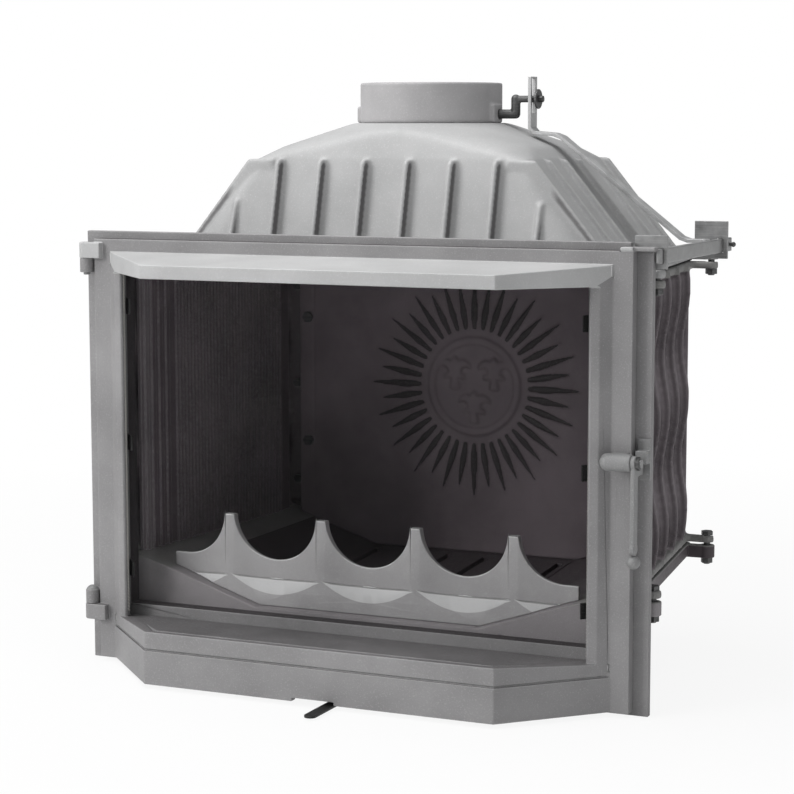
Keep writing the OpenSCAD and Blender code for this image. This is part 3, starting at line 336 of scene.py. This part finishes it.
def cast_iron(
    name, base, light, dark, rough=0.62, grain=0.5, wear=0.35, edge=1.6,
    back_darkening=None, sides=None, painted_top_light=None
):
    """Sand-cast iron: fine grain, faint blotches and edges rubbed lighter.

    The darkening towards the back is (front, back, colour): the casting darkens between two depths in
    metres.
    Sides is (height, x, colour): painted shade, darker, on the fins' upright faces above the height.
    The painted top light is (slope, colour): faces that turn up by the slope are painted lighter, as
    lit from above.
    """
    n = Nodes(name)
    place = n.place()
    fine = n.noise(place, 620, 2.0, 0.65)
    coarse = n.noise(place, 240, 3.0, 0.6)
    blotch = n.noise(place, 9, 4.0, 0.6)
    body = n.mix(n.spread(blotch, 0.3, 0.7, 0.0, 1.0), dark, base)
    speck = n.mix(n.spread(fine, 0.56, 0.72, 0.0, 0.55 * grain), body, light)
    pits = n.mix(n.spread(coarse, 0.42, 0.26, 0.0, 0.7 * grain), speck, dark)
    worn = n.math("MULTIPLY", n.edges(edge * MM), n.spread(coarse, 0.3, 0.65, 0.3, wear + 0.3))
    colour = n.mix(worn, pits, light)
    # Darker towards the back, between two depths
    if back_darkening:
        colour = n.mix(n.depth(back_darkening[0], back_darkening[1], blotch), colour, back_darkening[2])
    # Painted light: faces that turn up are lighter
    if painted_top_light:
        top_light_mask = n.spread(n.normal()["Z"], -0.6 * painted_top_light[0], painted_top_light[0], 0.0, 0.75)
        colour = n.mix(top_light_mask, colour, painted_top_light[1])
    # Painted shade on the fins' upright faces
    if sides:
        colour = n.mix(n.math("MULTIPLY", n.upright(sides[0], sides[1]), 0.85), colour, sides[2])
    shader = n.shader(Metallic=0.15, Specular_IOR_Level=0.35)
    n.join(colour, shader.inputs["Base Color"])
    n.join(n.spread(coarse, 0.3, 0.7, rough - 0.07, rough + 0.09), shader.inputs["Roughness"])
    peel = 0.2 + 0.2 * grain
    n.bump(shader, [(blotch, 0.15, 0.6 * MM), (coarse, peel, 0.35 * MM), (fine, 0.3, 0.16 * MM)])
    return n.material


def steel(name, base, light, dark, rough=0.38, metal=0.85):
    """Rolled steel: faint draw lines, a mottled skin and bright edges."""
    n = Nodes(name)
    mottle = n.noise(n.place(), 55, 4.0, 0.6)
    lines = n.noise(n.place((30, 900, 900)), 1.0, 3.0, 0.6)
    fine = n.noise(n.place(), 700, 2.0, 0.6)
    body = n.mix(n.spread(mottle, 0.3, 0.7, 0.0, 1.0), dark, base)
    drawn = n.mix(n.spread(lines, 0.5, 0.8, 0.0, 0.3), body, light)
    colour = n.mix(n.math("MULTIPLY", n.edges(0.8 * MM), 0.7), drawn, light)
    shader = n.shader(Metallic=metal)
    n.join(colour, shader.inputs["Base Color"])
    n.join(n.spread(mottle, 0.3, 0.7, rough - 0.08, rough + 0.12), shader.inputs["Roughness"])
    n.bump(shader, [(lines, 0.12, 0.1 * MM), (fine, 0.2, 0.08 * MM)])
    return n.material


def glass_rope(name):
    """Knitted glass fibre: small slanting stitches over a pale cord."""
    n = Nodes(name)
    knit = n.add("ShaderNodeTexWave", wave_type="BANDS", bands_direction="DIAGONAL")
    knit.inputs["Scale"].default_value = 170
    knit.inputs["Distortion"].default_value = 1.2
    n.join(n.place(), knit.inputs["Vector"])
    fibre = n.noise(n.place(), 1500, 2.0, 0.7)
    body = n.mix(knit.outputs["Fac"], srgb(120, 0.05), srgb(190, 0.05))
    colour = n.mix(n.spread(fibre, 0.35, 0.7, 0.0, 0.4), body, srgb(222, 0.03))
    shader = n.shader(Roughness=0.95, Specular_IOR_Level=0.2)
    n.join(colour, shader.inputs["Base Color"])
    n.bump(shader, [(knit.outputs["Fac"], 0.6, 0.7 * MM), (fibre, 0.4, 0.15 * MM)])
    return n.material


def gasket(name):
    """Black fire cement over a fibre tape."""
    n = Nodes(name)
    crumbs = n.noise(n.place(), 330, 4.0, 0.7)
    colour = n.mix(n.spread(crumbs, 0.35, 0.7, 0.0, 1.0), srgb(22), srgb(58, 0.03))
    shader = n.shader(Roughness=0.9, Specular_IOR_Level=0.25)
    n.join(colour, shader.inputs["Base Color"])
    n.bump(shader, [(crumbs, 0.6, 0.5 * MM)])
    return n.material


def clear_pane(name):
    """Clear ceramic glass, with faint smears in its gloss."""
    n = Nodes(name)
    smear = n.noise(n.place((1, 1, 0.4)), 14, 4.0, 0.6)
    shader = n.shader(Alpha=0.04, Specular_IOR_Level=0.35)
    shader.inputs["Base Color"].default_value = (0.02, 0.02, 0.02, 1)
    n.join(n.spread(smear, 0.35, 0.7, 0.02, 0.12), shader.inputs["Roughness"])
    return n.material


def room_surface(name, colour, share, near, far):
    """Plain and pale: mostly white to the camera, so that it keeps the object's shadow.

    Share is how white it is up to the near distance. Beyond the far one it is all white.
    """
    n = Nodes(name)
    away = n.add("ShaderNodeVectorMath", operation="LENGTH")
    n.join(n.place(), away.inputs[0])
    share = n.spread(away.outputs["Value"], near, far, share, 1.0)
    matt = n.add("ShaderNodeBsdfDiffuse")
    matt.inputs["Color"].default_value = colour
    glow = n.add("ShaderNodeEmission")
    glow.inputs["Color"].default_value = WHITE
    glow.inputs["Strength"].default_value = 1.0
    path = n.add("ShaderNodeLightPath")
    seen = n.math("MAXIMUM", path.outputs["Is Camera Ray"], path.outputs["Is Glossy Ray"])
    seen = n.math("MAXIMUM", seen, path.outputs["Is Transmission Ray"])
    mix = n.add("ShaderNodeMixShader")
    n.join(n.math("MULTIPLY", seen, share), mix.inputs[0])
    n.join(matt.outputs[0], mix.inputs[1])
    n.join(glow.outputs[0], mix.inputs[2])
    n.join(mix.outputs[0], n.out.inputs[0])
    return n.material


# Dome: the top of its flange, and how far out its front fins stand
DOME_FLANGE_TOP = 0.487
FRONT_FINS_X = 0.2

# Materials. The fire side and the outside of the body are rosy with rust and soot
M = {
    "facade_iron": cast_iron("facade_iron", srgb(154, 0, 0.01), srgb(200), srgb(134, 0, 0.01)),
    # A lighter copy of the facade iron: painted highlight on the door's header
    "lit_header_iron": cast_iron("lit_header_iron", srgb(190), srgb(220), srgb(174)),
    # A darker copy of the facade iron: painted shade on the sill, under the header
    "shaded_sill_iron": cast_iron("shaded_sill_iron", srgb(128, 0, 0.02), srgb(170), srgb(100, 0, 0.02)),
    # Dark iron: painted shade in the door's bay and the fire opening, and soot on the fireback's rays
    "shade_and_soot_iron": cast_iron("shade_and_soot_iron", srgb(74, 0, 0.06), srgb(130), srgb(56, 0, 0.06)),
    "collar_iron": cast_iron("collar_iron", srgb(180, 0, 0.01), srgb(216), srgb(160, 0, 0.01)),
    # Painted shade on the upright faces of the dome's fins
    "dome_iron": cast_iron(
        "dome_iron", srgb(182), srgb(222), srgb(164),
        sides=(DOME_FLANGE_TOP, FRONT_FINS_X, srgb(96, 0, 0.02))
    ),
    # Painted light on the upward faces of the walls' waves and ribs
    "body_iron": cast_iron(
        "body_iron", srgb(84, 0, 0.09), srgb(200, 0, 0.04), srgb(62, 0, 0.1),
        grain=0.25, wear=0.9, edge=4.5, painted_top_light=(0.18, srgb(138, 0, 0.06))
    ),
    "rim_iron": cast_iron("rim_iron", srgb(150, 0.02), srgb(190), srgb(124, 0.02)),
    "inner_iron": cast_iron(
        "inner_iron", srgb(128, 0, 0.09), srgb(200, 0, 0.05), srgb(104, 0, 0.09),
        grain=0.2, wear=0.7, edge=1.4
    ),
    "liner_iron": cast_iron(
        "liner_iron", srgb(118, 0, 0.09), srgb(235, 0, 0.04), srgb(92, 0, 0.09),
        grain=0.2, wear=1.3, edge=1.6
    ),
    # The hearth is darker towards the back
    "hearth_iron": cast_iron(
        "hearth_iron", srgb(158, 0, 0.03), srgb(190), srgb(132, 0, 0.03),
        back_darkening=(-0.19, -0.02, srgb(86, 0, 0.08))
    ),
    "retainer_iron": cast_iron("retainer_iron", srgb(180, 0, 0.01), srgb(215), srgb(156, 0, 0.01)),
    # A lighter copy of the retainer iron: painted highlight on the cups
    "lit_cup_iron": cast_iron("lit_cup_iron", srgb(214), srgb(232), srgb(198)),
    "lever_iron": cast_iron("lever_iron", srgb(150), srgb(205), srgb(125), rough=0.5),
    "dark_steel": steel("dark_steel", srgb(105), srgb(190), srgb(72), rough=0.5),
    "steel": steel("steel", srgb(165), srgb(215), srgb(130), rough=0.45, metal=0.6),
    "pale_steel": steel("pale_steel", srgb(196), srgb(235), srgb(165), rough=0.5, metal=0.4),
    "black_steel": steel("black_steel", srgb(40), srgb(95), srgb(24), rough=0.55, metal=0.3),
    "gasket": gasket("gasket"),
    "rope": glass_rope("rope"),
    "pane": clear_pane("pane"),
}

# CAD node: (material slot, material)
FINISH = {
    "facade": ("facade_iron", "facade_iron"),
    "hearth": ("inner_iron", "hearth_iron"),
    "grate": ("inner_iron", "hearth_iron"),
    "ash_box": ("body_iron", "body_iron"),
    "base_gasket": ("gasket", "gasket"),
    "side_wall_left": ("body_iron", "body_iron"),
    "side_wall_right": ("body_iron", "body_iron"),
    "back_wall": ("body_iron", "body_iron"),
    "back_wall_bolts": ("dark_steel", "dark_steel"),
    "side_liner_left": ("inner_iron", "liner_iron"),
    "side_liner_right": ("inner_iron", "liner_iron"),
    "fireback": ("inner_iron", "inner_iron"),
    "fireback_bolts": ("dark_steel", "dark_steel"),
    "baffle_plate": ("inner_iron", "inner_iron"),
    "log_retainer": ("retainer_iron", "retainer_iron"),
    "dome_gasket": ("gasket", "gasket"),
    "dome": ("dome_iron", "dome_iron"),
    "flue_collar": ("dome_iron", "collar_iron"),
    "facade_bolts": ("dark_steel", "dark_steel"),
    "lower_ear_bolts": ("dark_steel", "dark_steel"),
    "lower_ear_nuts": ("dark_steel", "dark_steel"),
    "upper_ear_bolts": ("dark_steel", "dark_steel"),
    "upper_ear_nuts": ("dark_steel", "dark_steel"),
    "hinge_knuckles": ("facade_iron", "facade_iron"),
    "hinge_pins": ("lever_iron", "lever_iron"),
    "latch_keeper": ("lever_iron", "lever_iron"),
    "front_bar_guide": ("steel", "steel"),
    "rear_bar_guide": ("steel", "steel"),
    "guide_rivets": ("steel", "steel"),
    "air_slide_guides": ("dark_steel", "dark_steel"),
    "ash_pan": ("black_steel", "black_steel"),
    "air_slide": ("black_steel", "black_steel"),
    "air_lever": ("black_steel", "black_steel"),
    "door_frame": ("facade_iron", "facade_iron"),
    "door_glass": ("pane", "pane"),
    "glass_seal": ("rope", "rope"),
    "door_rope_seal": ("rope", "rope"),
    "glass_clips": ("dark_steel", "black_steel"),
    "clip_screws": ("dark_steel", "black_steel"),
    "latch_housing": ("lever_iron", "lever_iron"),
    "latch_spindle": ("lever_iron", "lever_iron"),
    "latch_lever": ("lever_iron", "lever_iron"),
    "latch_knob": ("lever_iron", "lever_iron"),
    "latch_nut": ("dark_steel", "dark_steel"),
    "damper_disc": ("inner_iron", "inner_iron"),
    "damper_spindle": ("dark_steel", "dark_steel"),
    "crank_washer": ("dark_steel", "dark_steel"),
    "push_bar": ("dark_steel", "steel"),
    "link_strip": ("steel", "pale_steel"),
    "bar_split_pin": ("dark_steel", "dark_steel"),
}


def dress_nodes():
    """Every CAD node gets its material on its own mesh."""
    for name, (_, key) in FINISH.items():
        mesh = frame["nodes"][name].data
        mesh.materials.clear()
        mesh.materials.append(M[key])


# Node: width of the rounded edges, mm
BEVELS = {
    "facade": 1.2,
    "door_frame": 1.3,
    "hearth": 1.5,
    "grate": 1.0,
    "ash_box": 1.2,
    "ash_pan": 0.5,
    "side_liner_left": 0.7,
    "side_liner_right": 0.7,
    "baffle_plate": 1.0,
    "back_wall_bolts": 0.5,
    "fireback_bolts": 0.6,
    "facade_bolts": 0.5,
    "lower_ear_bolts": 0.6,
    "lower_ear_nuts": 0.5,
    "upper_ear_bolts": 0.6,
    "upper_ear_nuts": 0.5,
    "hinge_knuckles": 0.8,
    "hinge_pins": 0.6,
    "latch_keeper": 0.8,
    "front_bar_guide": 0.5,
    "rear_bar_guide": 0.5,
    "guide_rivets": 0.6,
    "air_slide": 0.3,
    "air_lever": 0.4,
    "glass_clips": 0.3,
    "clip_screws": 0.4,
    "latch_nut": 0.6,
    "damper_disc": 0.7,
    "crank_washer": 0.5,
    "push_bar": 1.0,
    "link_strip": 0.6,
    "bar_split_pin": 0.4,
    "log_retainer": 1.2,
    "base_gasket": 0.8,
    "dome_gasket": 0.6,
    "door_glass": 0.6,
    "glass_seal": 0.5,
    "latch_spindle": 0.5,
}

# Node: (voxel in mm, rounds of smoothing, width of the edges' bevel in mm)
CASTINGS = {
    "dome": (1.9, 5, 1.8),
    "flue_collar": (1.6, 5, 1.2),
    "side_wall_left": (2.0, 5, 1.2),
    "side_wall_right": (2.0, 5, 1.2),
    "back_wall": (1.8, 1, 0),
    "fireback": (1.7, 2, 0),
    "latch_housing": (0.9, 5, 0),
    "latch_lever": (0.7, 4, 0),
    "latch_knob": (0.6, 3, 0),
    "damper_spindle": (0.8, 5, 0),
}


def soften_nodes():
    """The softened piece of every CAD node in the two tables, by the node's name."""
    pieces = {}
    for node, width in BEVELS.items():
        slot, key = FINISH[node]
        pieces[node] = bevelled(node, width, M[key])
    for node, (voxel, rounds, edge) in CASTINGS.items():
        slot, key = FINISH[node]
        pieces[node] = rounded(node, voxel, rounds, edge, M[key])
    return pieces


def paint(obj, material, test):
    """Gives a second material to the faces whose centre and normal pass the test."""
    obj.data.materials.append(material)
    index = len(obj.data.materials) - 1
    for poly in obj.data.polygons:
        if test(poly.center, poly.normal):
            poly.material_index = index


def node_box(node):
    """The lowest and the highest corner of a CAD node."""
    corners = [v.co for v in frame["nodes"][node].data.vertices]
    low = Vector([min(c[i] for c in corners) for i in range(3)])
    high = Vector([max(c[i] for c in corners) for i in range(3)])
    return low, high


# Depths of the painted bands, from the edges of their pieces
HEADER_BAND = 45 * MM
SILL_BAND = 75 * MM
DOOR_FLANGE = 16 * MM
DOOR_RING = 60 * MM
OPENING_SIDE = 48 * MM
OPENING_TOP = 44 * MM
OPENING_LOW = 60 * MM
WALL_FLANGE = 10 * MM
HEARTH_RIM = 17 * MM

# Parts of a face's normal: a face that lies flat, one turned halfway, and two that lean
LYING = 0.8
HALFWAY = 0.5
LEANING = 0.3
SLANTING = 0.2


def tint_door(door):
    """Painted highlight on the header, painted shade on the sill and inside the bay."""
    low, high = node_box("door_frame")
    header_z = high.z - HEADER_BAND
    sill_z = low.z + SILL_BAND
    bay_y = high.y - DOOR_FLANGE
    ring_x = high.x - DOOR_RING
    # Painted highlight: the header's faces take the lighter iron
    paint(door, M["lit_header_iron"], lambda c, n: c.z > header_z and c.y < bay_y)
    # Painted shade on the sill's top faces
    paint(door, M["shaded_sill_iron"], lambda c, n: n.z > LYING and c.z < sill_z)
    # Painted shade on the faces that turn back and on the sides inside the bay
    paint(door, M["shade_and_soot_iron"], lambda c, n: n.y > LEANING)
    paint(
        door,
        M["shade_and_soot_iron"],
        lambda c, n: c.y > bay_y and abs(n.y) < LEANING and abs(c.x) < ring_x and c.z > sill_z,
    )


def tint_retainer(retainer):
    """Painted highlight on the sloping hollows of the log retainer, whose faces turn up to the light.
    """
    paint(retainer, M["lit_cup_iron"], lambda c, n: n.y < -HALFWAY and n.z > SLANTING)


# The sun on the fireback: height of its centre, radii where its rays begin and end, and the
# depth in front of which a face is raised from the plate
SUN_Z = 0.3064
RAYS = (0.071, 0.146)
RAISED_Y = 0.138


def tint_fireback(fireback):
    """The rays of the sun are sooty."""
    paint(
        fireback,
        M["shade_and_soot_iron"],
        lambda c, n: c.y < RAISED_Y and RAYS[0] < math.hypot(c.x, c.z - SUN_Z) < RAYS[1],
    )


def tint_facade(facade):
    """Painted shade on the edge of the fire opening, which lies in shadow."""
    high = node_box("facade")[1]
    edge_x, edge_z = high.x - OPENING_SIDE, high.z - OPENING_TOP
    # Painted shade on the opening's inner faces
    paint(
        facade,
        M["shade_and_soot_iron"],
        lambda c, n: abs(n.y) < HALFWAY and abs(c.x) < edge_x and OPENING_LOW < c.z < edge_z,
    )


def tint_walls(pieces):
    """The flanges are cleaned of scale for their joints, so they are paler."""
    low, high = node_box("side_wall_right")
    top_z, foot_z, front_y = high.z - WALL_FLANGE, low.z + WALL_FLANGE, low.y + WALL_FLANGE
    for node in ("side_wall_left", "side_wall_right"):
        paint(
            pieces[node],
            M["rim_iron"],
            lambda c, n: c.z > top_z or c.z < foot_z or c.y < front_y,
        )
    rim_z = node_box("hearth")[1].z - HEARTH_RIM
    paint(pieces["hearth"], M["rim_iron"], lambda c, n: c.z > rim_z and n.z > -HALFWAY)


# Cord of the rope seal, in mm and radians: points round it, strands, step along it, turn of the
# strands per step, radius and steps of its corners, how much of the groove it fills, and how
# deep the furrows between the strands are
ROPE_SIDES = 20
ROPE_LOBES = 5
ROPE_STEP = 3.0
ROPE_TURN = 1.92
ROPE_CORNER = 6.0
ROPE_CORNER_STEPS = 4
ROPE_FILL = 0.93
ROPE_FURROW = 0.05


def rope_path(low, high, inset):
    """Points (x, z) round a rectangle with rounded corners, in mm."""
    x0, x1 = low.x / MM + inset, high.x / MM - inset
    z0, z1 = low.z / MM + inset, high.z / MM - inset
    corners = [(x1, z0, -90), (x1, z1, 0), (x0, z1, 90), (x0, z0, 180)]
    points = []
    for cx, cz, start in corners:
        sx = 1 if cx == x0 else -1
        sz = 1 if cz == z0 else -1
        mx, mz = cx + sx * ROPE_CORNER, cz + sz * ROPE_CORNER
        for k in range(ROPE_CORNER_STEPS + 1):
            a = math.radians(start + 90 / ROPE_CORNER_STEPS * k)
            points.append((mx + ROPE_CORNER * math.cos(a), mz + ROPE_CORNER * math.sin(a)))
    path = []
    for i, (ax, az) in enumerate(points):
        bx, bz = points[(i + 1) % len(points)]
        length = math.hypot(bx - ax, bz - az)
        count = max(1, round(length / ROPE_STEP))
        for k in range(count):
            t = k / count
            path.append((ax + (bx - ax) * t, az + (bz - az) * t))
    return path


def rope_ring(radius, turn):
    """Points (across, deep) of one cross-section: a rounded square with strands."""
    points = []
    for k in range(ROPE_SIDES):
        a = 2 * math.pi * k / ROPE_SIDES
        c, s = math.cos(a), math.sin(a)
        square = (abs(c) ** 4 + abs(s) ** 4) ** -0.25
        strand = 1 - ROPE_FURROW * (1 - math.cos(ROPE_LOBES * a + turn))
        r = radius * square * strand
        points.append((min(max(r * c, -radius), radius), r * s))
    return points


def tube_faces(count, sides):
    """Faces of a closed tube of so many rings with so many points each."""
    faces = []
    for i in range(count):
        a, b = i * sides, (i + 1) % count * sides
        for k in range(sides):
            m = (k + 1) % sides
            faces.append((a + k, a + m, b + m, b + k))
    return faces


def rope_seal():
    """A knitted cord pressed into the groove of the door's flange."""
    low, high = node_box("door_rope_seal")
    half_y = (high.y - low.y) / MM / 2
    mid_y = (high.y + low.y) / MM / 2
    path = rope_path(low, high, half_y)
    verts = []
    for i, (x, z) in enumerate(path):
        ax, az = path[i - 1]
        bx, bz = path[(i + 1) % len(path)]
        length = math.hypot(bx - ax, bz - az)
        nx, nz = (bz - az) / length, -(bx - ax) / length
        for across, deep in rope_ring(half_y * ROPE_FILL, ROPE_TURN * i):
            verts.append(((x + nx * across) * MM, (mid_y + deep) * MM, (z + nz * across) * MM))
    rope = mesh_object("door_rope_seal_cord", verts, tube_faces(len(path), ROPE_SIDES))
    fix_normals(rope)
    shade_smooth(rope)
    slot, key = FINISH["door_rope_seal"]
    finish_piece(rope, "door_rope_seal", M[key])


# The camera's place in metres and its angles in degrees are fitted to the photo
CAMERA_AT = (1.0745, -2.487, 0.6415)
CAMERA_TURN = 24.25
CAMERA_DOWN = 7.01
CAMERA_ROLL = -0.07
LENS = 101.49
SENSOR = 36
FILL = 0.31
FILL_COLOUR = (0.97, 0.985, 1, 1)
FLOOR_COLOUR = (0.8, 0.8, 0.8, 1)
FLOOR_SIDE = 20
FLOOR_DROP = 0.5 * MM

# Light: (place, what it looks at, size in metres, power in watts)
LIGHTS = {
    "top": ((-0.5, -0.5, 2.6), (0, 0, 0.4), (2.0, 1.8), 52),
    "front_left": ((-2.3, -2.7, 1.6), (0.1, -0.1, 0.3), (1.5, 1.5), 60),
    "right": ((2.8, -0.9, 1.6), (0.3, 0, 0.35), (0.9, 1.0), 6),
}


def make_camera():
    data = bpy.data.cameras.new("camera")
    data.lens = LENS
    data.sensor_width = SENSOR
    data.clip_end = 60
    cam = link(bpy.data.objects.new("camera", data))
    turn, down = math.radians(CAMERA_TURN), math.radians(CAMERA_DOWN)
    look = Vector((-math.sin(turn) * math.cos(down), math.cos(turn) * math.cos(down), -math.sin(down)))
    turned = look.to_track_quat("-Z", "Y").to_matrix()
    roll = Matrix.Rotation(math.radians(CAMERA_ROLL), 3, "Z")
    cam.matrix_world = Matrix.Translation(CAMERA_AT) @ (turned @ roll).to_4x4()
    scene.camera = cam


def soft_light(name, at, aim, size, power):
    data = bpy.data.lights.new(name, "AREA")
    data.shape = "RECTANGLE"
    data.size, data.size_y = size
    data.energy = power
    lamp = link(bpy.data.objects.new(name, data))
    lamp.location = at
    lamp.rotation_euler = (Vector(aim) - Vector(at)).to_track_quat("-Z", "Y").to_euler()


def make_world():
    world = bpy.data.worlds.new("studio")
    scene.world = world
    world.use_nodes = True
    tree = world.node_tree
    tree.nodes.clear()
    out = tree.nodes.new("ShaderNodeOutputWorld")
    fill = tree.nodes.new("ShaderNodeBackground")
    fill.inputs[0].default_value = FILL_COLOUR
    fill.inputs[1].default_value = FILL
    white = tree.nodes.new("ShaderNodeBackground")
    white.inputs[0].default_value = WHITE
    white.inputs[1].default_value = 1.0
    path = tree.nodes.new("ShaderNodeLightPath")
    mix = tree.nodes.new("ShaderNodeMixShader")
    tree.links.new(path.outputs["Is Camera Ray"], mix.inputs[0])
    tree.links.new(fill.outputs[0], mix.inputs[1])
    tree.links.new(white.outputs[0], mix.inputs[2])
    tree.links.new(mix.outputs[0], out.inputs[0])


def make_floor():
    around = ((-1, -1), (1, -1), (1, 1), (-1, 1))
    corners = [(x * FLOOR_SIDE, y * FLOOR_SIDE, -FLOOR_DROP) for x, y in around]
    floor = mesh_object("floor", corners, [(0, 1, 2, 3)])
    floor.data.materials.append(room_surface("floor_white", FLOOR_COLOUR, 0.9, 0.6, 1.6))


def make_stage():
    make_camera()
    make_world()
    make_floor()
    for name, settings in LIGHTS.items():
        soft_light(name, *settings)
    scene.view_settings.view_transform = "Standard"


make_stage()
dress_nodes()
softened = soften_nodes()
tint_door(softened["door_frame"])
tint_facade(softened["facade"])
tint_retainer(softened["log_retainer"])
tint_fireback(softened["fireback"])
tint_walls(softened)
rope_seal()
